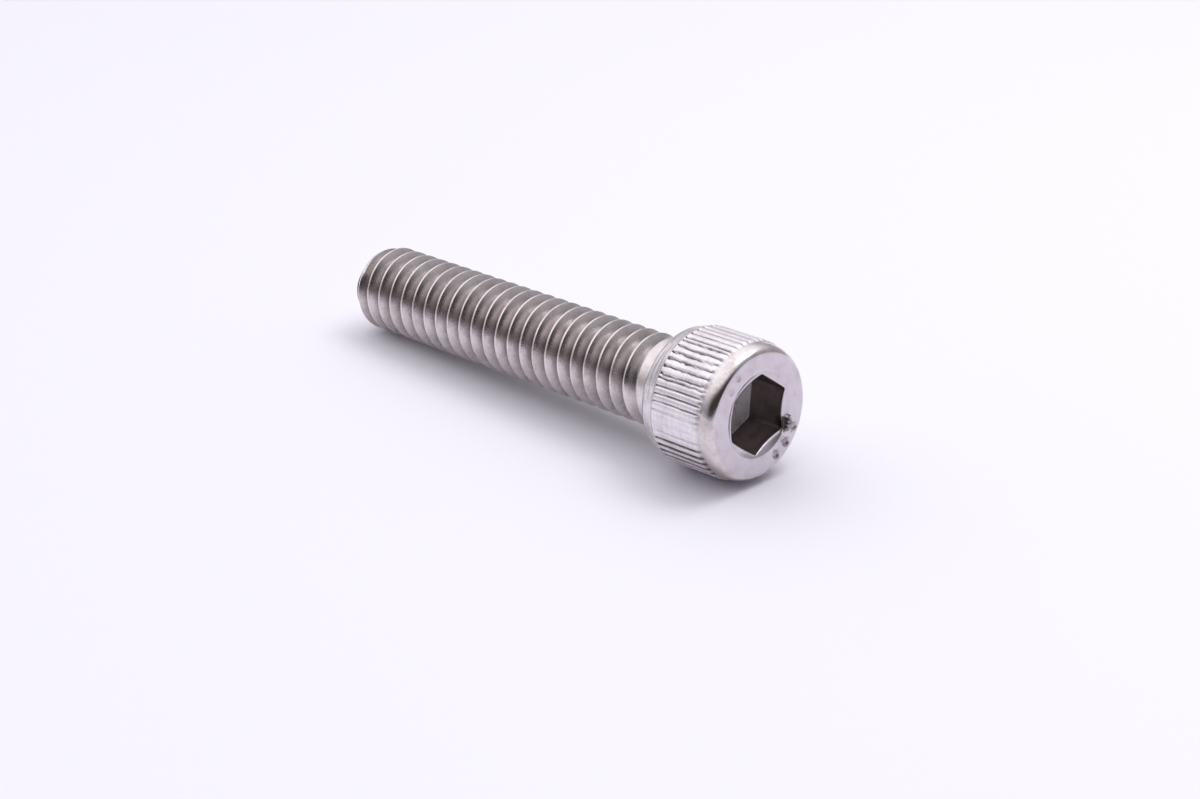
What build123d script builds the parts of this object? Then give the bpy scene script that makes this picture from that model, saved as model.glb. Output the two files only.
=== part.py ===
"""Hex socket cap screw, 1/4 in - 20 UNC x 1 1/4 in, headed, broached and thread-rolled in one piece.

The screw is built upright, with its head face at z = 0 and its point at the top. It is then laid on
its side as it comes to rest on a table: on the back edge of its knurl and on its last full thread,
with the head towards +X. Lengths are in millimetres and angles in degrees.
"""

import os
from math import atan2, ceil, cos, degrees, hypot, pi, radians, sin, tan

from build123d import *

os.makedirs("parts", exist_ok=True)

# ---------------------------------------------------------------- driving dimensions
# head
head_diameter = 9.525  # over the knurl's lands
head_height = 6.35
rim_width = 0.66  # the rounding between the head face and the side, measured across the face
rim_height = 0.95  # how far that rounding reaches down the side
bevel_height = 1.23  # the smooth band between the knurl and the bearing ring
bevel_inset = 0.34  # how far that band narrows the head
neck_fillet = 0.2  # where the neck meets the bearing ring

# knurl: straight grooves round the side of the head
knurl_pitch = 0.575  # from groove to groove, round the side
knurl_depth = 0.13
knurl_groove_width = 0.27

# socket
socket_across_flats = 4.826
socket_depth = 3.1  # from the head face to the end of the flats
socket_lead_in = 0.51  # how far the countersink stands out past the flats
socket_lead_in_angle = 60  # between the countersink and the axis
socket_floor_drop = 0.22  # the depth of the floor's cone
socket_turn = 7.2  # from a corner of the hexagon to the side that lies uppermost

# shank and thread
shank_length = 31.75  # from the bearing ring to the end of the point
thread_diameter = 6.3
thread_pitch = 1.27
thread_flank_angle = 30  # between a flank and the plane across the axis
first_crest = 1.7  # from the bearing ring to the first crest, on the side that faces -Y
run_in_turns = 0.75  # over which the groove sinks to its full depth
point_inset = 0.7  # the chamfer at the end, across the screw
point_length = 1.1  # the same chamfer, along the screw

# ---------------------------------------------------------------- sizes that follow
head_radius = head_diameter / 2
face_radius = head_radius - rim_width
bearing_radius = head_radius - bevel_inset
groove_radius = head_radius - knurl_depth
knurl_start = rim_height + knurl_depth
knurl_end = head_height - bevel_height
knurl_count = 2 * round(pi * head_diameter / knurl_pitch / 2)
lead_in_radius = socket_across_flats / 2 + socket_lead_in
lead_in_depth = socket_lead_in / tan(radians(socket_lead_in_angle))

screw_length = head_height + shank_length
thread_radius = thread_diameter / 2
thread_flat = thread_pitch / 8  # the width of the crest, and of the root
flank_spread = tan(radians(thread_flank_angle))
thread_depth = (thread_pitch / 2 - thread_flat) / flank_spread
root_radius = thread_radius - thread_depth
point_start = screw_length - point_length

# the -Y side lies a quarter turn before the helix's zero angle, and a root half a pitch from a crest
thread_start = head_height + first_crest + thread_pitch / 4 + thread_pitch / 2
thread_turns = ceil((screw_length - thread_start) / thread_pitch) + 1
cutter_height = thread_depth * 1.1  # it stands a little proud of the crests
cutter_mouth = thread_flat / 2 + cutter_height * flank_spread
run_in_height = run_in_turns * thread_pitch
run_in_slope = degrees(atan2(cutter_height, run_in_height))

# ---------------------------------------------------------------- blank: head, neck and shank
with BuildPart() as blank:
    with BuildSketch(Plane.XZ):
        with BuildLine():
            Line((0, 0), (face_radius, 0))
            EllipticalCenterArc(
                center=(face_radius, rim_height),
                x_radius=groove_radius - face_radius,
                y_radius=rim_height,
                start_angle=270,
                arc_size=90,
            )
            Polyline(
                (groove_radius, rim_height),
                (head_radius, knurl_start),
                (head_radius, knurl_end),
                (bearing_radius, head_height),
                (thread_radius + neck_fillet, head_height),
            )
            RadiusArc(
                (thread_radius + neck_fillet, head_height),
                (thread_radius, head_height + neck_fillet),
                neck_fillet,
            )
            Polyline(
                (thread_radius, head_height + neck_fillet),
                (thread_radius, point_start),
                (thread_radius - point_inset, screw_length),
                (0, screw_length),
                (0, 0),
            )
        make_face()
    revolve(axis=Axis.Z)

# ---------------------------------------------------------------- thread: the cutter of one turn
with BuildPart() as thread_turn:
    with BuildLine():
        turn_path = Helix(
            pitch=thread_pitch,
            height=thread_pitch,
            radius=root_radius,
            center=(0, 0, thread_start),
        )
    with BuildSketch(Plane(origin=turn_path @ 0, x_dir=(0, 0, 1), z_dir=turn_path % 0)):
        Polygon(
            (-thread_flat / 2, 0),
            (thread_flat / 2, 0),
            (cutter_mouth, cutter_height),
            (-cutter_mouth, cutter_height),
            align=None,
        )
    sweep(path=turn_path, is_frenet=True)

# ---------------------------------------------------------------- run-in: the groove rises out of the neck
with BuildPart() as run_in:
    with BuildLine():
        run_in_path = Helix(
            pitch=thread_pitch,
            height=run_in_height,
            radius=root_radius,
            center=(0, 0, thread_start),
            direction=(0, 0, -1),
            cone_angle=run_in_slope,
        )
    with BuildSketch(Plane(origin=run_in_path @ 0, x_dir=(0, 0, 1), z_dir=run_in_path % 0)):
        Polygon(
            (-thread_flat / 2, 0),
            (thread_flat / 2, 0),
            (cutter_mouth, -cutter_height),
            (-cutter_mouth, -cutter_height),
            align=None,
        )
    sweep(path=run_in_path, is_frenet=True)

# ---------------------------------------------------------------- knurl: the cutters of all its grooves
with BuildPart() as knurl_grooves:
    groove_flank = hypot(knurl_groove_width / 2, knurl_depth)
    with BuildSketch(Plane.XY.offset(rim_height)):
        with PolarLocations(groove_radius, knurl_count):
            Triangle(
                a=2 * knurl_groove_width,
                b=2 * groove_flank,
                c=2 * groove_flank,
                rotation=90,
                align=(Align.CENTER, Align.MAX),
            )
    extrude(amount=knurl_end - rim_height)

# ---------------------------------------------------------------- socket: hexagon, lead-in and cone floor
with BuildPart() as socket:
    with BuildSketch():
        RegularPolygon(
            radius=socket_across_flats / 2,
            side_count=6,
            major_radius=False,
            rotation=socket_turn,
        )
    extrude(amount=socket_depth)
    with BuildSketch(Plane.XZ):
        Polygon(
            (0, 0),
            (lead_in_radius, 0),
            (socket_across_flats / 2, lead_in_depth),
            (socket_across_flats / 2, socket_depth),
            (0, socket_depth + socket_floor_drop),
            align=None,
        )
    revolve(axis=Axis.Z)

# ---------------------------------------------------------------- the screw, upright
with BuildPart() as upright:
    add(blank.part)
    add(run_in.part, rotation=(0, 0, 180), mode=Mode.SUBTRACT)
    with Locations(*[(0, 0, thread_pitch * turn) for turn in range(thread_turns)]):
        add(thread_turn.part, mode=Mode.SUBTRACT)
    add(knurl_grooves.part, mode=Mode.SUBTRACT)
    add(socket.part, mode=Mode.SUBTRACT)

# ---------------------------------------------------------------- the screw, lying as it comes to rest
# the line that touches the back edge of the knurl and the last full thread lies on the table
rest_angle = atan2(head_radius - thread_radius, point_start - knurl_end)
along_screw = (-cos(rest_angle), 0, -sin(rest_angle))
across_screw = (-sin(rest_angle), 0, cos(rest_angle))

with BuildPart(Plane(origin=(0, 0, 0), x_dir=across_screw, z_dir=along_screw)) as tipped:
    add(upright.part)

tipped_box = tipped.part.bounding_box()
head_face_centre = (-tipped_box.center().X, -tipped_box.center().Y, -tipped_box.min.Z)

with BuildPart(Plane(origin=head_face_centre, x_dir=across_screw, z_dir=along_screw)) as cap_screw:
    add(upright.part)

cap_screw.part.label = "cap_screw"
export_step(cap_screw.part, "parts/cap_screw.step")
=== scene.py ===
"""A stainless hex socket cap screw lying on a pale table, finished for a close look.

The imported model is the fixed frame. The screw's visible skin is made by two Geometry Nodes trees,
one for the head with its socket and knurl, one for the threaded shank, and the two are welded into
one closed mesh. Lengths in the size classes are millimetres, and every Blender object is in metres.
"""

import logging
import math
from dataclasses import dataclass, field
from enum import Enum
from typing import Sequence, TypeAlias

import bmesh
import bpy
from mathutils import Matrix, Vector


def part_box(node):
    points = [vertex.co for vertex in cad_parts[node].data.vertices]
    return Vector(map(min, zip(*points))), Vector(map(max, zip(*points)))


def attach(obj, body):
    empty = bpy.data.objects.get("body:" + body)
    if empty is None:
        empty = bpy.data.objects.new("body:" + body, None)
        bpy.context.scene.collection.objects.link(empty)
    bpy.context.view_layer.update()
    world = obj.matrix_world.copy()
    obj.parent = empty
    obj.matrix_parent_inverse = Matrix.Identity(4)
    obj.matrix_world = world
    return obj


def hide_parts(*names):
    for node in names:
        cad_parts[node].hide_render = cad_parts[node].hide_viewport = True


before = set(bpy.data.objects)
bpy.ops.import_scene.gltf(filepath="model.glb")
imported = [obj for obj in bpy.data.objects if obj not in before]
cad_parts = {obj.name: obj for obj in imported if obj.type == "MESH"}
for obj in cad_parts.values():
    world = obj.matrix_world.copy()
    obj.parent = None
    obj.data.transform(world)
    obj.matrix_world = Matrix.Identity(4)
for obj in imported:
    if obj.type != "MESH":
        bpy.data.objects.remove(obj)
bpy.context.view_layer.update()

LOG = logging.getLogger("cap_screw")
MM = 0.001
NODE = "cap_screw"
SEAM_WELD = 2e-4  # in millimetres
Number: TypeAlias = "Field | float"


class Zone(Enum):
    """The parts of the screw's skin that are finished differently."""

    SOCKET_FLOOR = 0
    SOCKET_WALL = 1
    LEAD_IN = 2
    FACE = 3
    RIM = 4
    KNURL = 5
    BEVEL = 6
    UNDERSIDE = 7
    THREAD = 8
    POINT = 9


# ---- sizes


@dataclass(frozen=True)
class Pit:
    """A small dent or nick in the head face.

    Args:
        side: distance from the axis towards the near side, in millimetres.
        up: distance from the axis upwards, in millimetres.
        radius: how far the dent spreads.
        depth: how deep it is in the middle.
    """

    side: float
    up: float
    radius: float
    depth: float

    def distance(self, side: "Field", up: "Field") -> "Field":
        """How far each vertex lies from the dent's middle."""
        across, above = side - self.side, up - self.up
        return (across * across + above * above).math("SQRT")


@dataclass(frozen=True)
class ScrewSizes:
    """The screw's sizes in millimetres, measured along and across its own axis from the head face."""

    head_radius: float
    length: float
    head_height: float = 6.35
    rim_width: float = 0.66
    rim_height: float = 0.95
    bevel_height: float = 1.23
    bevel_inset: float = 0.34
    neck_fillet: float = 0.2
    knurl_depth: float = 0.13
    knurl_groove: float = 0.27
    ridge_end: float = 0.42
    socket_across_flats: float = 4.826
    socket_depth: float = 3.1
    socket_lead_in: float = 0.51
    socket_lead_in_angle: float = 60.0
    socket_floor_drop: float = 0.22
    socket_turn: float = 7.2
    thread_radius: float = 3.15
    thread_pitch: float = 1.27
    first_crest: float = 1.7
    run_in_turns: float = 0.75
    point_inset: float = 0.7
    point_length: float = 1.1

    @property
    def groove_radius(self) -> float:
        """The radius at the bottom of the knurl's grooves."""
        return self.head_radius - self.knurl_depth

    @property
    def knurl_end(self) -> float:
        """Where the knurl stops and the smooth band begins."""
        return self.head_height - self.bevel_height

    @property
    def lead_in_radius(self) -> float:
        """The mouth of the socket's countersink."""
        return self.socket_across_flats / 2 + self.socket_lead_in

    @property
    def thread_depth(self) -> float:
        """From crest to root of the sixty degree thread form."""
        return 3 / 8 * self.thread_pitch / math.tan(math.radians(30))

    @property
    def neck_start(self) -> float:
        """Where the neck leaves its fillet under the head."""
        return self.head_height + self.neck_fillet

    @property
    def rest_angle(self) -> float:
        """The screw's tilt when it lies on its knurl's back edge and its last full thread."""
        run = self.length - self.point_length - self.knurl_end
        return math.atan2(self.head_radius - self.thread_radius, run)


def sizes_from_frame() -> ScrewSizes:
    """Takes the head's radius and the screw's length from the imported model.

    Returns:
        The sizes, with the rest at their own values.
    """
    low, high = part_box(NODE)
    head_radius = (high.y - low.y) / 2 / MM
    guess = ScrewSizes(head_radius, (high.x - low.x) / MM)
    tilt = guess.rest_angle
    # the box is longer than the screw by the tilted head face and point, as its tilt says
    ends = guess.head_radius - guess.rim_width + guess.thread_radius - guess.point_inset
    length = ((high.x - low.x) / MM - ends * math.sin(tilt)) / math.cos(tilt)
    return ScrewSizes(head_radius, length)


@dataclass(frozen=True)
class Fineness:
    """How finely the skin is divided."""

    head_columns: int = 576
    shank_columns: int = 192
    rows_per_turn: int = 10
    point_rows: int = 6


# ---- node expressions


class Field:
    """A value in a node tree that can be added, multiplied and compared like a number."""

    def __init__(self, tree: bpy.types.NodeTree, socket: bpy.types.NodeSocket) -> None:
        """Keeps the tree and the socket that carries the value."""
        self.tree = tree
        self.socket = socket

    def math(self, operation: str, *others: Number) -> "Field":
        """Runs a Math node on this value.

        Args:
            operation: the Math node's operation.
            others: its second and third values.

        Returns:
            The node's result.
        """
        node = self.tree.nodes.new("ShaderNodeMath")
        node.operation = operation
        for slot, value in zip(node.inputs, (self, *others)):
            if isinstance(value, Field):
                self.tree.links.new(value.socket, slot)
            else:
                slot.default_value = float(value)
        return Field(self.tree, node.outputs[0])

    def __add__(self, other: Number) -> "Field":
        """Adds."""
        return self.math("ADD", other)

    __radd__ = __add__

    def __sub__(self, other: Number) -> "Field":
        """Subtracts."""
        return self.math("SUBTRACT", other)

    def __rsub__(self, other: Number) -> "Field":
        """Subtracts this from a number."""
        return self.math("MULTIPLY_ADD", -1.0, other)

    def __mul__(self, other: Number) -> "Field":
        """Multiplies."""
        return self.math("MULTIPLY", other)

    __rmul__ = __mul__

    def __truediv__(self, other: Number) -> "Field":
        """Divides."""
        return self.math("DIVIDE", other)

    def clamp(self, low: float = 0.0, high: float = 1.0) -> "Field":
        """Keeps the value between two numbers."""
        return self.math("MAXIMUM", low).math("MINIMUM", high)

    def mix(self, start: Number, end: Number) -> "Field":
        """Goes from start to end as this value goes from 0 to 1."""
        return self * (end - start) + start

    def smooth(self, low: float, high: float) -> "Field":
        """Rises smoothly from 0 to 1 between two numbers.

        Args:
            low: where the rise begins.
            high: where it ends.

        Returns:
            The smoothed value.
        """
        node = self.tree.nodes.new("ShaderNodeMapRange")
        node.interpolation_type = "SMOOTHSTEP"
        self.tree.links.new(self.socket, node.inputs["Value"])
        node.inputs["From Min"].default_value = low
        node.inputs["From Max"].default_value = high
        return Field(self.tree, node.outputs["Result"])


class Tree:
    """A Geometry Nodes tree built from named inputs and expressions."""

    def __init__(self, name: str) -> None:
        """Makes the tree with one geometry input and one geometry output.

        Args:
            name: the tree's name.
        """
        self.group = bpy.data.node_groups.new(name, "GeometryNodeTree")
        self.group.interface.new_socket("Geometry", in_out="INPUT", socket_type="NodeSocketGeometry")
        self.group.interface.new_socket("Geometry", in_out="OUTPUT", socket_type="NodeSocketGeometry")
        self.source = self.group.nodes.new("NodeGroupInput")
        self.sink = self.group.nodes.new("NodeGroupOutput")
        self.values: dict[str, float] = {}

    def size(self, name: str, value: float) -> Field:
        """Adds a named size to the tree's inputs.

        Args:
            name: the input's name.
            value: the value that the modifier will give it.

        Returns:
            The input as a field.
        """
        socket = self.group.interface.new_socket(name, in_out="INPUT", socket_type="NodeSocketFloat")
        self.values[socket.identifier] = float(value)
        return Field(self.group, self.source.outputs[name])

    def node(self, kind: str, **inputs: object) -> bpy.types.Node:
        """Adds a node and fills its inputs.

        Args:
            kind: the node's type.
            inputs: sockets, fields or plain values by input name, with _ for a space.

        Returns:
            The node.
        """
        node = self.group.nodes.new(kind)
        for name, value in inputs.items():
            self.fill(node.inputs[name.replace("_", " ")], value)
        return node

    def fill(self, slot: bpy.types.NodeSocket, value: object) -> None:
        """Links a field or a socket to an input, or writes a plain value there.

        Args:
            slot: the input.
            value: the field, socket or plain value.
        """
        if isinstance(value, Field):
            self.group.links.new(value.socket, slot)
        elif isinstance(value, bpy.types.NodeSocket):
            self.group.links.new(value, slot)
        else:
            slot.default_value = value

    def field(self, node: bpy.types.Node, output: int | str = 0) -> Field:
        """Wraps a node's output as a field."""
        return Field(self.group, node.outputs[output])

    def index(self) -> Field:
        """The index of each vertex or face."""
        return self.field(self.node("GeometryNodeInputIndex"))

    def ring(self, per_ring: int) -> Field:
        """The ring of each vertex or face, when every ring holds the same number of them."""
        return (self.index() / per_ring + 0.5 / per_ring).math("FLOOR")

    def grid(self, rows: int, columns: int) -> tuple[bpy.types.NodeSocket, Field, Field]:
        """Makes the sheet that is wrapped round the axis.

        Args:
            rows: how many rings of vertices it has.
            columns: how many faces go round it.

        Returns:
            The sheet, and each vertex's ring and column.
        """
        sheet = self.node("GeometryNodeMeshGrid", Vertices_X=rows, Vertices_Y=columns + 1)
        row = self.ring(columns + 1)
        return sheet.outputs["Mesh"], row, self.index() - row * (columns + 1)

    def wrap(
        self,
        sheet: bpy.types.NodeSocket,
        around: Field,
        radius: Field,
        along: Field,
    ) -> bpy.types.NodeSocket:
        """Places a sheet's vertices by angle, radius and height on the axis.

        Args:
            sheet: the flat sheet.
            around: each vertex's angle.
            radius: its distance from the axis.
            along: its height on the axis.

        Returns:
            The wrapped sheet.
        """
        position = self.node(
            "ShaderNodeCombineXYZ",
            X=radius * around.math("COSINE"),
            Y=radius * around.math("SINE"),
            Z=along,
        )
        placed = self.node("GeometryNodeSetPosition", Geometry=sheet, Position=position.outputs[0])
        return placed.outputs[0]

    def store(
        self,
        geometry: bpy.types.NodeSocket,
        name: str,
        value: Field,
        domain: str = "POINT",
    ) -> bpy.types.NodeSocket:
        """Keeps a value on the mesh under a name.

        Args:
            geometry: the mesh.
            name: the attribute's name.
            value: the value.
            domain: POINT for the vertices, FACE for the faces.

        Returns:
            The mesh that carries the value.
        """
        node = self.node("GeometryNodeStoreNamedAttribute", Geometry=geometry, Name=name)
        node.data_type = "FLOAT"
        node.domain = domain
        self.group.links.new(value.socket, node.inputs["Value"])
        return node.outputs[0]

    def finish(
        self,
        geometry: bpy.types.NodeSocket,
        finishes: dict[Zone, bpy.types.Material],
    ) -> None:
        """Welds the sheet's seams and ends the tree in Realize Instances and Set Material.

        Args:
            geometry: the wrapped sheet, with each face's zone kept under the name "zone".
            finishes: the materials by zone.
        """
        weld = self.node("GeometryNodeMergeByDistance", Geometry=geometry, Distance=SEAM_WELD)
        geometry = self.node("GeometryNodeRealizeInstances", Geometry=weld.outputs[0]).outputs[0]
        named = self.node("GeometryNodeInputNamedAttribute", Name="zone")
        zone_of_face = self.field(named, "Attribute")
        for zone, material in finishes.items():
            is_zone = zone_of_face.math("COMPARE", float(zone.value), 0.25)
            node = self.node("GeometryNodeSetMaterial", Geometry=geometry, Material=material)
            self.group.links.new(is_zone.socket, node.inputs["Selection"])
            geometry = node.outputs[0]
        self.group.links.new(geometry, self.sink.inputs[0])

    def run(self, source: bpy.types.Mesh) -> bpy.types.Mesh:
        """Runs the tree on a mesh.

        Args:
            source: the mesh that goes in.

        Returns:
            A plain mesh, with nothing live on it.
        """
        carrier = bpy.data.objects.new(self.group.name, source)
        bpy.context.scene.collection.objects.link(carrier)
        modifier = carrier.modifiers.new(self.group.name, "NODES")
        modifier.node_group = self.group
        for identifier, value in self.values.items():
            modifier[identifier] = value
        graph = bpy.context.evaluated_depsgraph_get()
        made = bpy.data.meshes.new_from_object(carrier.evaluated_get(graph))
        bpy.data.objects.remove(carrier)
        return made


# ---- finishes


PATCH_EDGE = (0.42, 0.68)  # the noise values between which a patch of stain sets in
SPECK_EDGE = (0.5, 0.75)
SPOT_EDGE = (0.66, 0.76)
MARK_EDGE = (0.4, 0.7)
PATCH_SHARE = 0.7  # how much of the stain is patches; the rest is specks
SPECK_FINENESS = 6  # how much smaller specks are than patches
SPOT_FINENESS = 9
SOIL_AND_SHADE_EVEN = 0.6  # the strength of the dirt and painted shade where the patches are weakest
SOIL_AND_SHADE_PATCHY = 0.8
SOIL_AND_SHADE_ROUGHNESS = 0.15  # how much the dirt and painted shade mask adds to the roughness


@dataclass(frozen=True)
class SteelFinish:
    """One finish of the screw's stainless steel.

    Args:
        name: the material's name.
        colour: the clean metal's colour.
        stain: the colour of its duller patches.
        soil_and_shade: the colour of dirt and painted shade low in grooves, roots and pits.
        roughness: from mirror to matte.
        unevenness: how much the roughness wanders.
        patch_size: the size of the duller patches, in millimetres.
        stain_amount: how strongly they show.
        grain: the size of the surface's fine grain, in millimetres.
        grain_height: the height of that grain, in millimetres.
        lines: tool marks per millimetre along the axis, round the screw; 0 for none.
        line_height: the depth of those marks, in millimetres.
        line_stain: how strongly the marks show in the colour.
        spot_amount: how dark the small scattered spots are.
        metallic: 1 for bare metal, less under a dull film.
    """

    name: str
    colour: tuple[float, float, float]
    stain: tuple[float, float, float]
    soil_and_shade: tuple[float, float, float]
    roughness: float
    unevenness: float = 0.08
    patch_size: float = 1.2
    stain_amount: float = 0.5
    grain: float = 0.06
    grain_height: float = 0.004
    lines: float = 0.0
    line_height: float = 0.004
    line_stain: float = 0.0
    spot_amount: float = 0.25
    metallic: float = 1.0

    def build(self) -> bpy.types.Material:
        """Builds the node material.

        Returns:
            The material, on the mesh's own attributes.
        """
        material = bpy.data.materials.new(self.name)
        material.use_nodes = True
        shader = ShaderGraph(material.node_tree, "ShaderNodeOutputMaterial")
        place = shader.place()
        patches = shader.noise(place, 1 / self.patch_size, detail=6.0, roughness=0.62)
        specks = shader.noise(place, SPECK_FINENESS / self.patch_size, detail=4.0, roughness=0.6)
        spots = shader.noise(place, SPOT_FINENESS / self.patch_size, detail=2.0, roughness=0.5)
        height = shader.noise(place, 1 / self.grain, detail=3.0, roughness=0.6) * self.grain_height
        low = shader.attribute("low")
        stain = patches.smooth(*PATCH_EDGE) * PATCH_SHARE + specks.smooth(*SPECK_EDGE) * (1 - PATCH_SHARE)
        stain = stain * self.stain_amount
        if self.lines:
            along_axis = shader.stretch(place, (0.5, 0.5, self.lines))
            marks = shader.noise(along_axis, 1.0, detail=4.0, roughness=0.7)
            stain = (stain + marks.smooth(*MARK_EDGE) * self.line_stain).clamp()
            height = height + marks * self.line_height
        # the "low" mask paints dirt and painted shade into the hollows; the scattered spots are stains
        soil_and_shade = low * (SOIL_AND_SHADE_EVEN + SOIL_AND_SHADE_PATCHY * patches) + spots.smooth(*SPOT_EDGE) * self.spot_amount
        colour = shader.blend(stain, self.colour, self.stain)
        colour = shader.blend(soil_and_shade.clamp(), colour, self.soil_and_shade)
        wander = (patches - 0.5) * (2 * self.unevenness) + (specks - 0.5) * self.unevenness
        roughness = (wander + self.roughness + low * SOIL_AND_SHADE_ROUGHNESS).clamp(0.05, 0.95)
        shader.metal(colour, self.metallic, roughness, shader.bump(height))
        return material


class ShaderGraph:
    """Builds the nodes of a metal or of the world."""

    def __init__(self, tree: bpy.types.NodeTree, output: str) -> None:
        """Clears the tree down to its output.

        Args:
            tree: the material's or the world's tree.
            output: the type of the output node.
        """
        self.tree = tree
        self.tree.nodes.clear()
        self.output = self.tree.nodes.new(output)

    def place(self) -> bpy.types.NodeSocket:
        """Each point's place on the upright screw, in millimetres."""
        return self.carried("upright").outputs["Vector"]

    def attribute(self, name: str) -> Field:
        """A number that the mesh carries."""
        return Field(self.tree, self.carried(name).outputs["Fac"])

    def carried(self, name: str) -> bpy.types.Node:
        """Adds the node that reads one of the mesh's attributes.

        Args:
            name: the attribute's name.

        Returns:
            The node.
        """
        node = self.tree.nodes.new("ShaderNodeAttribute")
        node.attribute_name = name
        return node

    def direction(self) -> tuple[Field, ...]:
        """The direction in which the world is seen.

        Returns:
            Its x, y and z.
        """
        parts = self.tree.nodes.new("ShaderNodeSeparateXYZ")
        seen = self.tree.nodes.new("ShaderNodeTexCoord")
        self.tree.links.new(seen.outputs["Generated"], parts.inputs[0])
        return tuple(Field(self.tree, output) for output in parts.outputs)

    def stretch(self, place: bpy.types.NodeSocket, scale: Sequence[float]) -> bpy.types.NodeSocket:
        """Scales a place along each axis.

        Args:
            place: the place.
            scale: the scale along x, y and z.

        Returns:
            The scaled place.
        """
        node = self.tree.nodes.new("ShaderNodeMapping")
        node.inputs["Scale"].default_value = tuple(scale)
        self.tree.links.new(place, node.inputs["Vector"])
        return node.outputs[0]

    def noise(self, place: bpy.types.NodeSocket, scale: float, detail: float, roughness: float) -> Field:
        """Adds noise.

        Args:
            place: where it is read.
            scale: how fine it is.
            detail: how many finer layers it has.
            roughness: how strong those layers are.

        Returns:
            The noise, from 0 to 1.
        """
        node = self.tree.nodes.new("ShaderNodeTexNoise")
        self.tree.links.new(place, node.inputs["Vector"])
        node.inputs["Scale"].default_value = scale
        node.inputs["Detail"].default_value = detail
        node.inputs["Roughness"].default_value = roughness
        return Field(self.tree, node.outputs["Fac"])

    def blend(
        self,
        amount: Field,
        first: tuple[float, float, float] | bpy.types.NodeSocket,
        second: tuple[float, float, float],
    ) -> bpy.types.NodeSocket:
        """Goes from one colour to another.

        Args:
            amount: 0 for the first colour, 1 for the second.
            first: the first colour, or a socket that carries it.
            second: the second colour.

        Returns:
            The blended colour.
        """
        node = self.tree.nodes.new("ShaderNodeMix")
        node.data_type = "RGBA"
        self.tree.links.new(amount.socket, node.inputs["Factor"])
        if isinstance(first, bpy.types.NodeSocket):
            self.tree.links.new(first, node.inputs["A"])
        else:
            node.inputs["A"].default_value = (*first, 1.0)
        node.inputs["B"].default_value = (*second, 1.0)
        return node.outputs["Result"]

    def bump(self, height: Field) -> bpy.types.NodeSocket:
        """Turns a height into a surface normal.

        Args:
            height: the height, in millimetres.

        Returns:
            The normal.
        """
        node = self.tree.nodes.new("ShaderNodeBump")
        node.inputs["Strength"].default_value = 1.0
        node.inputs["Distance"].default_value = MM
        self.tree.links.new(height.socket, node.inputs["Height"])
        return node.outputs[0]

    def metal(
        self,
        colour: bpy.types.NodeSocket,
        metallic: float,
        roughness: Field,
        normal: bpy.types.NodeSocket,
    ) -> None:
        """Ends the graph in a metal's shader.

        Args:
            colour: the surface's colour.
            metallic: 1 for bare metal.
            roughness: from mirror to matte.
            normal: the surface's normal.
        """
        node = self.tree.nodes.new("ShaderNodeBsdfPrincipled")
        node.inputs["Metallic"].default_value = metallic
        self.tree.links.new(colour, node.inputs["Base Color"])
        self.tree.links.new(roughness.socket, node.inputs["Roughness"])
        self.tree.links.new(normal, node.inputs["Normal"])
        self.tree.links.new(node.outputs[0], self.output.inputs["Surface"])

    def background(self, colour: bpy.types.NodeSocket) -> None:
        """Ends the graph in the world's light.

        Args:
            colour: the colour in each direction.
        """
        node = self.tree.nodes.new("ShaderNodeBackground")
        node.inputs["Strength"].default_value = 1.0
        self.tree.links.new(colour, node.inputs["Color"])
        self.tree.links.new(node.outputs[0], self.output.inputs["Surface"])


FACE_COLOUR = (0.65, 0.60, 0.645)
FACE_STAIN = (0.46, 0.39, 0.40)
# the near-black colour of dirt and painted shade deep in grooves, roots, pits and the socket
SOIL_AND_SHADE = (0.05, 0.035, 0.03)

FINISHES: dict[Zone, SteelFinish] = {
    Zone.SOCKET_FLOOR: SteelFinish(
        "socket_floor_steel", (0.92, 0.90, 0.92), (0.50, 0.46, 0.47), SOIL_AND_SHADE, 0.5,
        stain_amount=0.9, patch_size=0.9, metallic=0.0,
    ),
    # painted shade: the socket's walls are coloured far darker than the face steel for the shade deep in
    # the socket
    Zone.SOCKET_WALL: SteelFinish(
        "broached_steel_painted_shade", (0.25, 0.205, 0.195), (0.11, 0.085, 0.08), SOIL_AND_SHADE, 0.34, stain_amount=0.8
    ),
    Zone.LEAD_IN: SteelFinish("countersunk_steel", FACE_COLOUR, FACE_STAIN, SOIL_AND_SHADE, 0.30, stain_amount=0.5),
    Zone.FACE: SteelFinish("face_steel", FACE_COLOUR, FACE_STAIN, SOIL_AND_SHADE, 0.30, stain_amount=0.5),
    Zone.RIM: SteelFinish(
        "rim_steel", (0.74, 0.69, 0.70), (0.40, 0.335, 0.29), SOIL_AND_SHADE, 0.20, unevenness=0.07, stain_amount=0.7
    ),
    Zone.KNURL: SteelFinish(
        "knurled_steel", (0.86, 0.815, 0.85), (0.56, 0.51, 0.52), (0.12, 0.10, 0.095), 0.35,
        grain_height=0.012, lines=14.0, line_height=0.005, line_stain=0.35,
    ),
    Zone.BEVEL: SteelFinish(
        "turned_steel", (0.84, 0.80, 0.82), (0.40, 0.36, 0.37), SOIL_AND_SHADE, 0.24,
        lines=7.0, line_height=0.010, line_stain=0.9,
    ),
    Zone.UNDERSIDE: SteelFinish("bearing_steel", (0.48, 0.44, 0.45), (0.28, 0.24, 0.24), SOIL_AND_SHADE, 0.34),
    Zone.THREAD: SteelFinish(
        "rolled_thread_steel", (0.74, 0.685, 0.685), (0.44, 0.385, 0.37), (0.12, 0.095, 0.09), 0.24,
        unevenness=0.10, stain_amount=0.6,
    ),
    Zone.POINT: SteelFinish(
        "point_steel", (0.52, 0.48, 0.49), (0.30, 0.26, 0.26), (0.12, 0.10, 0.10), 0.42
    ),
}


# ---- the screw


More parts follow.
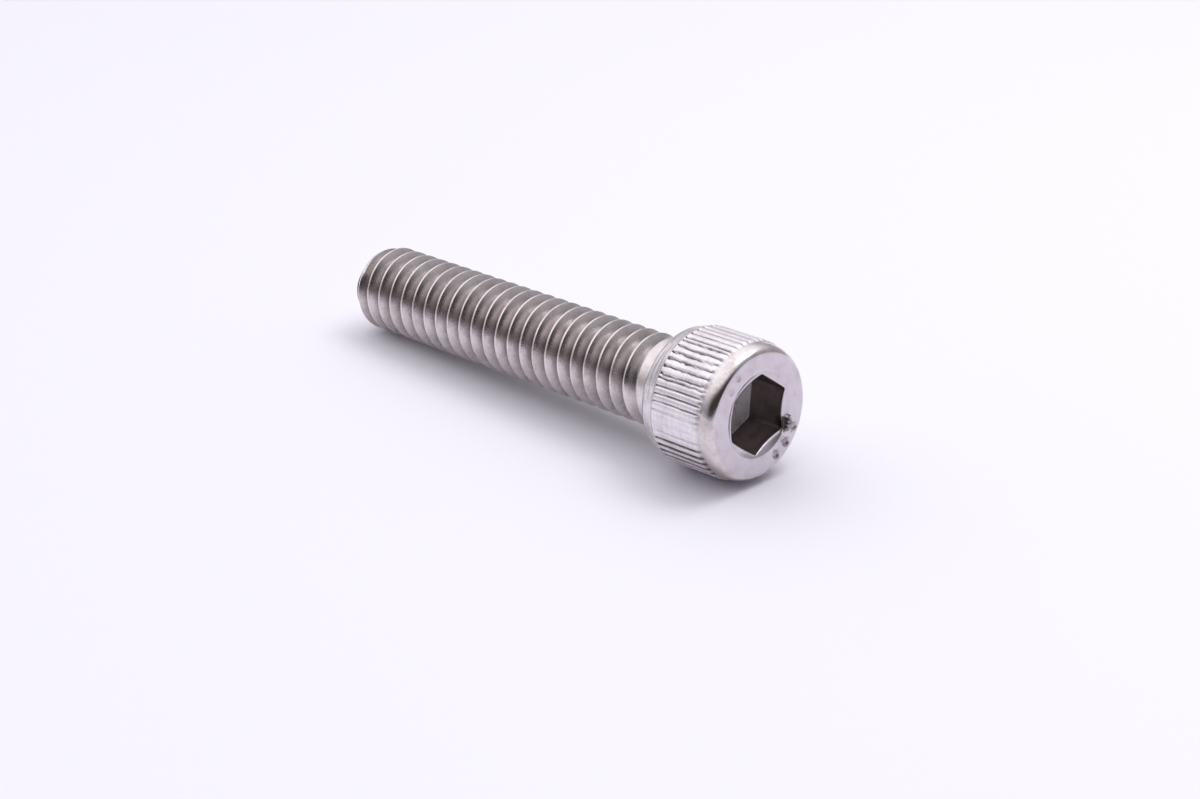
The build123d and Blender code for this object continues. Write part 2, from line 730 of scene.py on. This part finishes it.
@dataclass(frozen=True)
class KnurlRun:
    """A stretch of evenly rolled grooves, with angles in degrees from the top towards the near side.

    Args:
        start: where the stretch begins.
        first: the angle of its first groove.
        spacing: the angle from groove to groove.
    """

    start: float
    first: float
    spacing: float


@dataclass(frozen=True)
class KnurlPatch:
    """A stretch of the knurl that differs from the rest and fades out at both ends.

    Args:
        middle: the angle of its middle, in degrees from the top.
        core: how far from there it keeps its full strength, in degrees.
        reach: how far from there it has faded out, in degrees.
    """

    middle: float
    core: float
    reach: float


@dataclass(frozen=True)
class Station:
    """One ring of the head's skin.

    Args:
        radius: its distance from the axis.
        along: its distance from the head face.
        zone: the finish of the band that starts at it.
        hexagon: 1 where the ring follows the socket's hexagon, 0 where it is round.
        mouth: 1 where the ring lies at the height at which countersink and hexagon meet.
        edge: 1 where the ring's radius and height are added to the hexagon's own.
        knurl: 1 where the knurl's grooves reach their full depth.
        coarse: 1 where the ring has only the shank's columns.
    """

    radius: float
    along: float
    zone: Zone
    hexagon: float = 0.0
    mouth: float = 0.0
    edge: float = 0.0
    knurl: float = 0.0
    coarse: float = 0.0


@dataclass(frozen=True)
class HeadPlace:
    """Each vertex's place on the head's sheet.

    Args:
        tree: the head's tree.
        row: the vertex's ring.
        angle: its angle round the axis.
    """

    tree: Tree
    row: Field
    angle: Field

    def read(self, name: str) -> Field:
        """Reads one of the profile's numbers at the ring."""
        return read_profile(self.tree, self.row, name)

    def noise(self, along: Field, scale: float, stretch: float) -> Field:
        """Adds noise that closes round the head.

        Args:
            along: the distance along the axis.
            scale: how fine it is round the head.
            stretch: how fine it is along the head.

        Returns:
            The noise, about 0.
        """
        place = self.tree.node(
            "ShaderNodeCombineXYZ",
            X=self.angle.math("COSINE") * scale,
            Y=self.angle.math("SINE") * scale,
            Z=along * stretch,
        )
        node = self.tree.node("ShaderNodeTexNoise", Vector=place.outputs[0], Scale=1.0, Detail=1.0)
        return self.tree.field(node, "Fac") * 4.0 - 2.0

    def within(self, patch: KnurlPatch) -> Field:
        """How strongly a patch of the knurl shows: 1 in its middle, 0 beyond its reach."""
        apart = (self.angle - math.radians(patch.middle)).math("WRAP", math.pi, -math.pi)
        return 1.0 - apart.math("ABSOLUTE").smooth(math.radians(patch.core), math.radians(patch.reach))


def read_profile(tree: Tree, row: Field, name: str) -> Field:
    """Reads one of the numbers that the tree's input mesh carries.

    Args:
        tree: the tree.
        row: which vertex of the input mesh.
        name: the number's name.

    Returns:
        The number.
    """
    named = tree.node("GeometryNodeInputNamedAttribute", Name=name)
    node = tree.node("GeometryNodeSampleIndex", Geometry=tree.source.outputs[0], Index=row)
    tree.group.links.new(named.outputs["Attribute"], node.inputs["Value"])
    return tree.field(node)


def spread(start: float, end: float, steps: int) -> list[float]:
    """Evenly spaced numbers after start, up to and with end."""
    return [start + (end - start) * k / steps for k in range(1, steps + 1)]


@dataclass
class Head:
    """The screw's head: socket, face, rim, knurl, smooth band and bearing ring."""

    sizes: ScrewSizes
    fineness: Fineness
    floor_rings: Sequence[float] = (0.0, 0.25, 0.5, 0.75, 0.92, 1.0)
    wall_rings: Sequence[float] = (0.04, 0.2, 0.4, 0.6, 0.8, 0.96, 1.0)
    lead_in_rings: Sequence[float] = (0.35, 0.65, 0.92)
    face_steps: int = 13
    rim_steps: int = 10
    ridge_end_steps: int = 6
    knurl_steps: int = 14
    band_rings: Sequence[float] = (0.0, 0.08, 0.5, 0.95)
    fillet_turns: Sequence[float] = (0.0, 0.35, 0.75, 1.15)
    corner_smoothing: float = 0.03  # of the hexagon's corners, in radians
    face_reach: float = 0.6  # how far down the head dents may reach
    chip_reach: float = 0.45  # how far down the head the chip may reach
    raggedness: float = 0.16  # how far the chip's edge wanders, in millimetres
    waviness: float = 0.45  # how far the grooves wander, in degrees
    calm_ripple: float = 0.35  # how much the grooves' edges ripple, as a share of the waviness
    strong_ripple: float = 2.25
    worn_depth: float = 0.3  # what wear leaves of the grooves' depth
    heavy_width: float = 1.6  # how much wider and deeper the heavy grooves are
    heavy_depth: float = 1.3
    groove_share: float = 0.9  # of the depth; the rest is the ridges' crown
    crown_share: float = 0.10
    crown_reach: float = 3.4  # in degrees
    grime_and_shade_spread: float = 2.6  # how closely the dirt and painted shade keep to the grooves' bottoms
    # painted shade: in the heavy patch low on the near side the grooves are darkened more and further up
    # their sides
    heavy_shade_spread: float = 1.1
    heavy_painted_shade: float = 1.8
    heavy: KnurlPatch = KnurlPatch(-126.0, 9.0, 27.0)
    rippled: KnurlPatch = KnurlPatch(-38.0, 12.0, 26.0)
    worn: KnurlPatch = KnurlPatch(-92.0, 5.0, 17.0)
    runs: Sequence[KnurlRun] = (
        KnurlRun(-8.2, -3.7, 6.8),
        KnurlRun(18.7, 20.8, 6.64),
        KnurlRun(55.7, 57.4, 6.33),
        KnurlRun(84.9, 86.9, 7.2),
        KnurlRun(191.0, 192.9, 6.85),
        KnurlRun(262.3, 264.2, 6.93),
    )
    pits: Sequence[Pit] = (
        Pit(-1.57, -3.28, 0.42, 0.14),
        Pit(-1.42, -3.05, 0.16, 0.06),
        Pit(-2.52, -2.70, 0.42, 0.16),
        Pit(-2.74, -2.52, 0.18, 0.06),
        Pit(-3.30, -1.82, 0.38, 0.12),
        Pit(-3.08, -2.04, 0.20, 0.06),
        Pit(-2.16, -2.36, 0.30, 0.07),
        Pit(1.90, 3.14, 0.32, 0.06),
        Pit(2.58, 2.42, 0.36, 0.05),
        Pit(1.16, -3.63, 0.14, 0.04),
    )
    chip: Pit = Pit(-2.50, -1.42, 0.62, 0.22)

    def stations(self) -> list[Station]:
        """Lists the rings from the middle of the socket's floor to the neck.

        Returns:
            The rings in order.
        """
        s = self.sizes
        rings: list[Station] = []
        for c in self.floor_rings:
            depth = s.socket_depth + s.socket_floor_drop * (1 - c)
            rings.append(Station(0.0, depth, Zone.SOCKET_FLOOR, hexagon=c))
        for a in self.wall_rings:
            zone = Zone.LEAD_IN if a == 1.0 else Zone.SOCKET_WALL
            rings.append(Station(0.0, s.socket_depth, zone, hexagon=1.0, mouth=a))
        rings.append(Station(0.05, -0.08, Zone.LEAD_IN, hexagon=1.0, mouth=1.0, edge=1.0))
        for b in self.lead_in_rings:
            rings.append(Station(s.lead_in_radius, 0.012, Zone.LEAD_IN, hexagon=1 - b, mouth=1 - b))
        rings.append(Station(s.lead_in_radius, 0.012, Zone.FACE))
        rings.append(Station(s.lead_in_radius + 0.03, 0.002, Zone.FACE))
        face_radius = s.head_radius - s.rim_width
        for radius in spread(s.lead_in_radius, face_radius, self.face_steps):
            rings.append(Station(radius, 0.0, Zone.FACE))
        for turn in spread(0.0, math.pi / 2, self.rim_steps):
            radius = face_radius + (s.groove_radius - face_radius) * math.sin(turn)
            rings.append(Station(radius, s.rim_height * (1 - math.cos(turn)), Zone.RIM))
        for rise in spread(0.0, 1.0, self.ridge_end_steps):
            rings.append(Station(s.head_radius, s.rim_height + s.ridge_end * rise, Zone.KNURL, knurl=1.0))
        for along in spread(rings[-1].along, s.knurl_end - 0.04, self.knurl_steps):
            rings.append(Station(s.head_radius, along, Zone.KNURL, knurl=1.0))
        band_slope = s.bevel_inset / s.bevel_height
        for along in (*self.band_rings, s.bevel_height - 0.12):
            rings.append(Station(s.head_radius - band_slope * along, s.knurl_end + along, Zone.BEVEL))
        along = s.bevel_height - 0.03
        rings.append(Station(s.head_radius - band_slope * along - 0.02, s.knurl_end + along, Zone.BEVEL))
        bearing_radius = s.head_radius - s.bevel_inset
        fillet_start = s.thread_radius + s.neck_fillet
        for radius in (bearing_radius - 0.06, bearing_radius - 0.2):
            rings.append(Station(radius, s.head_height, Zone.UNDERSIDE))
        middle = (bearing_radius + fillet_start) / 2
        rings.append(Station(middle, s.head_height, Zone.UNDERSIDE, coarse=1.0))
        for turn in self.fillet_turns:
            radius = fillet_start - s.neck_fillet * math.sin(turn)
            along = s.head_height + s.neck_fillet * (1 - math.cos(turn))
            rings.append(Station(radius, along, Zone.UNDERSIDE, coarse=1.0))
        rings.append(Station(s.thread_radius, s.neck_start, Zone.THREAD, coarse=1.0))
        return rings

    def profile(self) -> bpy.types.Mesh:
        """Puts the rings into a mesh of loose points that the tree reads.

        Returns:
            A mesh with one vertex a ring.
        """
        rings = self.stations()
        mesh = bpy.data.meshes.new("head_profile")
        mesh.from_pydata([(r.radius, 0.0, r.along) for r in rings], [], [])
        numbers = {"zone": [float(r.zone.value) for r in rings]}
        for name in ("radius", "along", "hexagon", "mouth", "edge", "knurl", "coarse"):
            numbers[name] = [getattr(r, name) for r in rings]
        for name, values in numbers.items():
            mesh.attributes.new(name, "FLOAT", "POINT").data.foreach_set("value", values)
        return mesh

    def build(self, finishes: dict[Zone, bpy.types.Material]) -> bpy.types.Mesh:
        """Builds the head's tree and runs it.

        Args:
            finishes: the materials by zone.

        Returns:
            The head's skin, open at the neck.
        """
        s = self.sizes
        profile = self.profile()
        columns = self.fineness.head_columns
        tree = Tree("knurled_head")
        depth = tree.size("Knurl depth", s.knurl_depth)
        turn = tree.size("Socket turn", math.radians(s.socket_turn))
        sheet, row, column = tree.grid(len(profile.vertices), columns)
        ratio = columns // self.fineness.shank_columns
        snapped = (column / ratio).math("ROUND") * ratio
        around = read_profile(tree, row, "coarse").mix(column, snapped)
        place = HeadPlace(tree, row, around * (2 * math.pi / columns) + turn)

        radius, along = self.socket(place, turn)
        cut, grime_and_shade = self.knurl(place, along, depth)
        radius = radius - cut

        side = radius * place.angle.math("SINE") * -1.0
        up = radius * place.angle.math("COSINE")
        round_here = 1.0 - place.read("hexagon")
        dent = self.dents(side, up) * (round_here * along.math("LESS_THAN", self.face_reach))
        along = along + dent
        chip = self.chip
        ragged = chip.distance(side, up) + place.noise(radius, scale=34.0, stretch=9.0) * self.raggedness
        broken = 1.0 - ragged.smooth(0.6 * chip.radius, chip.radius)
        broken = broken * along.math("LESS_THAN", self.chip_reach)
        along = along + broken * chip.depth * (1.0 - place.read("mouth"))

        # the "low" mask: dirt and painted shade in the knurl's grooves, the dents and the chip
        low = grime_and_shade + (dent * 2.5).clamp() + broken * 0.9
        geometry = tree.store(sheet, "low", low.clamp())
        zone_of_face = read_profile(tree, tree.ring(columns), "zone")
        geometry = tree.store(geometry, "zone", zone_of_face, "FACE")
        tree.finish(tree.wrap(geometry, place.angle, radius, along), finishes)
        return tree.run(profile)

    def socket(self, place: HeadPlace, turn: Field) -> tuple[Field, Field]:
        """Bends the inner rings to the hexagon, and to the line where the countersink meets it.

        Args:
            place: each vertex's place.
            turn: the angle of one of the hexagon's corners.

        Returns:
            Each vertex's distance from the axis, and from the head face.
        """
        s = self.sizes
        half_flats = place.tree.size("Socket half width", s.socket_across_flats / 2)
        lead_in = place.tree.size("Countersink radius", s.lead_in_radius)
        sector = math.pi / 3
        from_corner = (place.angle - turn).math("FLOORED_MODULO", sector)
        from_flat = (from_corner - sector / 2).math("ABSOLUTE")
        smoothing = self.corner_smoothing
        rounded = from_flat.math("SMOOTH_MIN", sector / 2 - smoothing, smoothing)
        hex_radius = half_flats / rounded.math("COSINE")
        mouth_height = (lead_in - hex_radius) / math.tan(math.radians(s.socket_lead_in_angle))
        base_radius = place.read("radius")
        base_along = place.read("along")
        edge = place.read("edge") * (lead_in - hex_radius) / s.socket_lead_in
        radius = place.read("hexagon").mix(base_radius, hex_radius) + edge * base_radius
        along = place.read("mouth").mix(base_along, mouth_height) + edge * base_along
        return radius, along

    def knurl(self, place: HeadPlace, along: Field, depth: Field) -> tuple[Field, Field]:
        """Cuts the knurl: grooves that wander a little, between ridges with rounded ends.

        Args:
            place: each vertex's place.
            along: its distance from the head face.
            depth: the grooves' depth.

        Returns:
            How deep each vertex is cut, and how much dirt and painted shade darken it.
        """
        s = self.sizes
        width = place.tree.size("Knurl groove width", s.knurl_groove / s.head_radius)
        waviness = place.tree.size("Knurl waviness", math.radians(self.waviness))
        ridge_end = place.tree.size("Ridge end", s.ridge_end)
        knurl = place.read("knurl")
        heavy = place.within(self.heavy)
        wear = place.within(self.worn).mix(1.0, self.worn_depth)
        ripple_amount = place.within(self.rippled).mix(self.calm_ripple, self.strong_ripple)

        wander = place.noise(along, scale=2.2, stretch=0.25) * waviness
        ripple = place.noise(along, scale=14.0, stretch=2.6) * ripple_amount * waviness
        uneven = (place.noise(along, scale=4.0, stretch=0.5) * 0.3 + 1.0).clamp(0.7, 1.0)
        offset = self.from_groove(place.angle * -1.0 + wander + ripple)
        half_width = width * heavy.mix(1.0, self.heavy_width) * 0.5
        across = (1.0 - (offset / half_width).clamp()) * wear * uneven
        ahead = 1.0 - ((along - s.rim_height) / ridge_end).clamp()
        groove = (across * across + ahead * ahead).math("SQRT").smooth(0.0, 1.0)
        crown = (1.0 - (offset / math.radians(self.crown_reach)).clamp()) * self.crown_share
        share = (groove * self.groove_share + crown * wear).clamp()
        cut = share * knurl * depth * heavy.mix(1.0, self.heavy_depth)

        # dirt and painted shade in the grooves, with more painted shade in the heavy patch low on the near
        # side
        spread_here = heavy.mix(self.grime_and_shade_spread, self.heavy_shade_spread)
        grime_and_shade = (cut / depth).math("POWER", spread_here) * heavy.mix(1.0, self.heavy_painted_shade)
        return cut, grime_and_shade * knurl * (1.0 - ahead)

    def dents(self, side: Field, up: Field) -> Field:
        """Sinks the dents into the face.

        Args:
            side: each vertex's distance from the axis towards the near side.
            up: its distance from the axis upwards.

        Returns:
            How deep each vertex is sunk.
        """
        bowls = []
        for pit in self.pits:
            edge = pit.distance(side, up).smooth(0.42 * pit.radius, 0.9 * pit.radius)
            bowls.append((1.0 - edge) * pit.depth)
        deepest = bowls[0]
        for bowl in bowls[1:]:
            deepest = deepest.math("MAXIMUM", bowl)
        return deepest

    def from_groove(self, track: Field) -> Field:
        """How far each angle lies from the nearest groove, when the knurl is rolled in several runs.

        Args:
            track: the angle from the top towards the near side.

        Returns:
            The distance as an angle.
        """
        origin = self.runs[0].start
        turned = (track - math.radians(origin)).math("FLOORED_MODULO", 2 * math.pi)
        ends = [run.start for run in self.runs[1:]] + [origin + 360.0]
        shares = []
        for run, end in zip(self.runs, ends):
            after = turned.math("GREATER_THAN", math.radians(run.start - origin))
            before = turned.math("LESS_THAN", math.radians(end - origin))
            spacing = math.radians(run.spacing)
            first = math.radians(run.first - origin)
            nearest = (turned - first + spacing / 2).math("FLOORED_MODULO", spacing) - spacing / 2
            shares.append(after * before * nearest.math("ABSOLUTE"))
        return sum(shares[1:], shares[0])


@dataclass
class Shank:
    """The screw's shank: plain neck, thread and point."""

    sizes: ScrewSizes
    fineness: Fineness
    crowding: float = 0.55  # how far the rows crowd towards crests and roots
    crest_rounding: float = 0.14  # in shares of the thread's depth
    root_rounding: float = 0.24
    point_rounding: float = 0.12  # in millimetres
    grime_and_shade_spread: float = 1.6  # how closely the dirt and painted shade keep to the thread's roots
    # how strongly dirt and painted shade darken the roots
    grime_and_shade: float = 0.9

    def build(self, finishes: dict[Zone, bpy.types.Material]) -> bpy.types.Mesh:
        """Builds the shank's tree and runs it.

        The rows of the sheet run along the helix, so crests and roots are clean lines, and the rows
        that reach past the neck or the point fold onto its edge and are welded away.

        Args:
            finishes: the materials by zone.

        Returns:
            The shank's skin, open at the neck.
        """
        s = self.sizes
        per_turn = self.fineness.rows_per_turn
        columns = self.fineness.shank_columns
        crest_at_zero = s.head_height + s.first_crest + s.thread_pitch / 4
        turns_before = math.floor((s.neck_start - crest_at_zero) / s.thread_pitch) - 1
        turns = math.ceil((s.length - crest_at_zero) / s.thread_pitch) - turns_before
        skin_rows = turns * per_turn
        rows = skin_rows + self.fineness.point_rows + 1

        tree = Tree("threaded_shank")
        pitch = tree.size("Pitch", s.thread_pitch)
        crest = tree.size("Crest radius", s.thread_radius)
        depth = tree.size("Thread depth", s.thread_depth)
        start = tree.size("Neck start", s.neck_start)
        end = tree.size("Screw length", s.length)
        first = tree.size("Crest at zero angle", crest_at_zero)
        run_in = tree.size("Run-in turns", s.run_in_turns)
        inset = tree.size("Point inset", s.point_inset)
        point = tree.size("Point length", s.point_length)

        sheet, row, column = tree.grid(rows, columns)
        angle = column / columns * (2 * math.pi) + math.radians(s.socket_turn)
        turn = angle / (2 * math.pi)
        level = row.math("MINIMUM", skin_rows) / per_turn
        crowd = (level * (4 * math.pi)).math("SINE") * (self.crowding / (4 * math.pi))
        along = first + pitch * (level - crowd + turns_before + turn)
        along = along.math("MAXIMUM", start).math("MINIMUM", end)

        # the thread form at this height and angle
        phase = (along - first) / pitch - turn - 0.5
        nearest = phase.math("ROUND")
        from_root = (phase - nearest).math("ABSOLUTE")
        height = (from_root - 1 / 16) / (3 / 8)
        height = height.math("SMOOTH_MIN", 1.0, self.crest_rounding)
        height = height.math("SMOOTH_MAX", 0.0, self.root_rounding).clamp()
        run = ((nearest + turn) / run_in + 1.0).clamp()
        cut = (1.0 - height) * run
        radius = crest - depth * cut
        cone = crest - inset * ((along - end) / point + 1.0)
        radius = radius.math("SMOOTH_MIN", cone, self.point_rounding)

        # the end of the point is a flat disc
        cap = ((row - skin_rows) / self.fineness.point_rows).clamp()
        radius = radius * (1.0 - cap)
        # the "low" mask: dirt and painted shade in the thread's roots
        geometry = tree.store(sheet, "low", (cut.math("POWER", self.grime_and_shade_spread) * self.grime_and_shade).clamp())
        is_cap = tree.ring(columns).math("GREATER_THAN", skin_rows - 0.5)
        zone = is_cap.mix(float(Zone.THREAD.value), float(Zone.POINT.value))
        geometry = tree.store(geometry, "zone", zone, "FACE")
        zones = {z: finishes[z] for z in (Zone.THREAD, Zone.POINT)}
        tree.finish(tree.wrap(geometry, angle, radius, along), zones)
        return tree.run(bpy.data.meshes.new("shank_seed"))


@dataclass
class Screw:
    """The whole screw: one closed skin, lying as it rests."""

    sizes: ScrewSizes
    fineness: Fineness = field(default_factory=Fineness)
    weld: float = 5e-4  # in millimetres
    sharp_angle: float = 42.0

    def lying(self) -> Matrix:
        """The turn and place that lay the upright screw on the table.

        Returns:
            A matrix from the upright screw, in millimetres, to the row frame, in metres.
        """
        tilt = self.sizes.rest_angle
        along = Vector((-math.cos(tilt), 0.0, -math.sin(tilt)))
        across = Vector((-math.sin(tilt), 0.0, math.cos(tilt)))
        side = along.cross(across)
        turned = Matrix((across, side, along)).transposed().to_4x4()
        return Matrix.Scale(MM, 4) @ turned

    def build(self) -> bpy.types.Object:
        """Returns:
            The finished piece.
        """
        finishes = {zone: finish.build() for zone, finish in FINISHES.items()}
        skins = [
            Head(self.sizes, self.fineness).build(finishes),
            Shank(self.sizes, self.fineness).build(finishes),
        ]
        mesh = self.join(skins)
        self.remember_upright(mesh)
        mesh.transform(self.lying())
        self.settle(mesh)
        mesh.polygons.foreach_set("use_smooth", [True] * len(mesh.polygons))
        mesh.set_sharp_from_angle(angle=math.radians(self.sharp_angle))
        piece = bpy.data.objects.new("screw", mesh)
        bpy.context.scene.collection.objects.link(piece)
        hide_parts(NODE)
        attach(piece, "root")
        LOG.info("screw: %d vertices, %d faces", len(mesh.vertices), len(mesh.polygons))
        return piece

    def join(self, skins: Sequence[bpy.types.Mesh]) -> bpy.types.Mesh:
        """Welds the skins into one closed mesh with its faces outwards.

        Args:
            skins: the open skins, which share the ring at the neck.

        Returns:
            The closed mesh.
        """
        mesh = bpy.data.meshes.new("screw")
        slots: list[bpy.types.Material] = []
        made = bmesh.new()
        for skin in skins:
            renumber = []
            for material in skin.materials:
                if material not in slots:
                    slots.append(material)
                renumber.append(slots.index(material))
            for polygon in skin.polygons:
                polygon.material_index = renumber[polygon.material_index]
            made.from_mesh(skin)
        bmesh.ops.remove_doubles(made, verts=made.verts, dist=self.weld)
        bmesh.ops.dissolve_degenerate(made, edges=made.edges, dist=self.weld / 10)
        bmesh.ops.recalc_face_normals(made, faces=made.faces)
        open_edges = sum(1 for e in made.edges if len(e.link_faces) != 2)
        volume = made.calc_volume()
        made.to_mesh(mesh)
        made.free()
        for material in slots:
            mesh.materials.append(material)
        LOG.info("screw: %d open edges, volume %.1f cubic mm", open_edges, volume)
        return mesh

    def remember_upright(self, mesh: bpy.types.Mesh) -> None:
        """Keeps each vertex's place on the upright screw, in millimetres, for the finishes.

        Args:
            mesh: the skin, still upright.
        """
        places = [0.0] * (3 * len(mesh.vertices))
        mesh.vertices.foreach_get("co", places)
        mesh.attributes.new("upright", "FLOAT_VECTOR", "POINT").data.foreach_set("vector", places)

    def settle(self, mesh: bpy.types.Mesh) -> None:
        """Sets the lying screw on the table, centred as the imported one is.

        Args:
            mesh: the skin, already lying.
        """
        low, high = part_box(NODE)
        xs = [v.co.x for v in mesh.vertices]
        zs = [v.co.z for v in mesh.vertices]
        middle = (low.x + high.x) / 2 - (min(xs) + max(xs)) / 2
        mesh.transform(Matrix.Translation((middle, 0.0, low.z - min(zs))))


# ---- studio


@dataclass(frozen=True)
class Studio:
    """A pale tent with a dark opening in front, a pale table and a soft lamp overhead."""

    table_half: float = 2.0
    table_colour: tuple[float, float, float] = (0.90, 0.89, 0.955)
    tent_colour: tuple[float, float, float] = (0.43, 0.42, 0.445)
    tent_top_colour: tuple[float, float, float] = (1.30, 1.28, 1.325)
    top_azimuth: float = -92.0
    top_elevation: float = 70.0
    opening_colour: tuple[float, float, float] = (0.035, 0.030, 0.026)
    opening_azimuth: float = 50.0
    opening_half_width: float = 58.0
    opening_elevation: float = 15.0
    opening_half_height: float = 28.5
    opening_softness: float = 0.32
    opening_squareness: float = 3.0  # 2 is an ellipse, more is nearer a rectangle
    top_spread: tuple[float, float] = (0.3, 0.88)  # how the bright top fades, as cosines
    lamp_height: float = 0.27
    lamp_size: float = 0.14
    lamp_watts: float = 0.195
    lamp_place: tuple[float, float] = (0.055, 0.115)
    camera_azimuth: float = 45.74
    camera_elevation: float = 24.73
    camera_lens: float = 75.04
    camera_aim: tuple[float, float, float] = (0.01149, -0.00708, 0.00594)
    camera_distance: float = 0.16156

    def outward(self, azimuth: float, elevation: float) -> Vector:
        """The direction from the screw towards a viewer at an azimuth and elevation in degrees."""
        a, e = math.radians(azimuth), math.radians(elevation)
        return Vector((math.sin(a) * math.cos(e), -math.cos(a) * math.cos(e), math.sin(e)))

    def table(self) -> bpy.types.Object:
        """Makes the pale table.

        Returns:
            The table, marked as part of the stage.
        """
        mesh = bpy.data.meshes.new("table")
        h = self.table_half
        mesh.from_pydata([(-h, -h, 0), (h, -h, 0), (h, h, 0), (-h, h, 0)], [], [(0, 1, 2, 3)])
        material = bpy.data.materials.new("pale_table")
        material.use_nodes = True
        shader = material.node_tree.nodes["Principled BSDF"]
        shader.inputs["Base Color"].default_value = (*self.table_colour, 1.0)
        shader.inputs["Roughness"].default_value = 0.75
        shader.inputs["Specular IOR Level"].default_value = 0.2
        mesh.materials.append(material)
        table = bpy.data.objects.new("table", mesh)
        bpy.context.scene.collection.objects.link(table)
        return table

    def tent(self) -> None:
        """Lights the world as a pale tent, brightest overhead, with a dark opening in front."""
        world = bpy.data.worlds.new("tent")
        bpy.context.scene.world = world
        world.use_nodes = True
        graph = ShaderGraph(world.node_tree, "ShaderNodeOutputWorld")
        x, y, z = graph.direction()
        azimuth = x.math("ARCTAN2", y * -1.0) - math.radians(self.opening_azimuth)
        elevation = z.math("ARCSINE") - math.radians(self.opening_elevation)
        sideways = azimuth.math("WRAP", math.pi, -math.pi) / math.radians(self.opening_half_width)
        upward = elevation / math.radians(self.opening_half_height)
        power = self.opening_squareness
        far = sideways.math("ABSOLUTE").math("POWER", power) + upward.math("ABSOLUTE").math("POWER", power)
        edge = far.math("POWER", 1 / power)
        opening = 1.0 - edge.smooth(1.0 - self.opening_softness, 1.0 + self.opening_softness)
        top = self.outward(self.top_azimuth, self.top_elevation)
        towards_top = (x * top.x + y * top.y + z * top.z).smooth(*self.top_spread)
        tent = graph.blend(towards_top, self.tent_colour, self.tent_top_colour)
        graph.background(graph.blend(opening, tent, self.opening_colour))

    def lamp(self) -> None:
        """Hangs the soft lamp over the screw."""
        data = bpy.data.lights.new("overhead", "AREA")
        data.shape = "SQUARE"
        data.size = self.lamp_size
        data.energy = self.lamp_watts
        lamp = bpy.data.objects.new("overhead", data)
        lamp.location = (*self.lamp_place, self.lamp_height)
        lamp.rotation_mode = "QUATERNION"
        lamp.rotation_quaternion = (-lamp.location).to_track_quat("-Z", "Y")
        bpy.context.scene.collection.objects.link(lamp)

    def camera(self) -> None:
        """Places the camera above and in front of the head."""
        data = bpy.data.cameras.new("camera")
        data.lens = self.camera_lens
        data.sensor_width = 36.0
        data.clip_start = 0.01
        data.clip_end = 10.0
        camera = bpy.data.objects.new("camera", data)
        outward = self.outward(self.camera_azimuth, self.camera_elevation)
        camera.location = Vector(self.camera_aim) + outward * self.camera_distance
        camera.rotation_mode = "QUATERNION"
        camera.rotation_quaternion = (-outward).to_track_quat("-Z", "Y")
        bpy.context.scene.collection.objects.link(camera)
        bpy.context.scene.camera = camera

    def build(self) -> None:
        """Sets up the stage, the light and the camera."""
        self.table()
        self.tent()
        self.lamp()
        self.camera()
        bpy.context.scene.view_settings.view_transform = "Standard"
        LOG.info("studio: table, tent, lamp and camera")


def main() -> None:
    """Builds the screw and its studio, and writes how large they came out."""
    logging.basicConfig(level=logging.INFO, format="%(name)s: %(message)s")
    sizes = sizes_from_frame()
    LOG.info("screw length %.3f mm, head radius %.4f mm", sizes.length, sizes.head_radius)
    Screw(sizes).build()
    Studio().build()


if __name__ == "__main__":
    main()
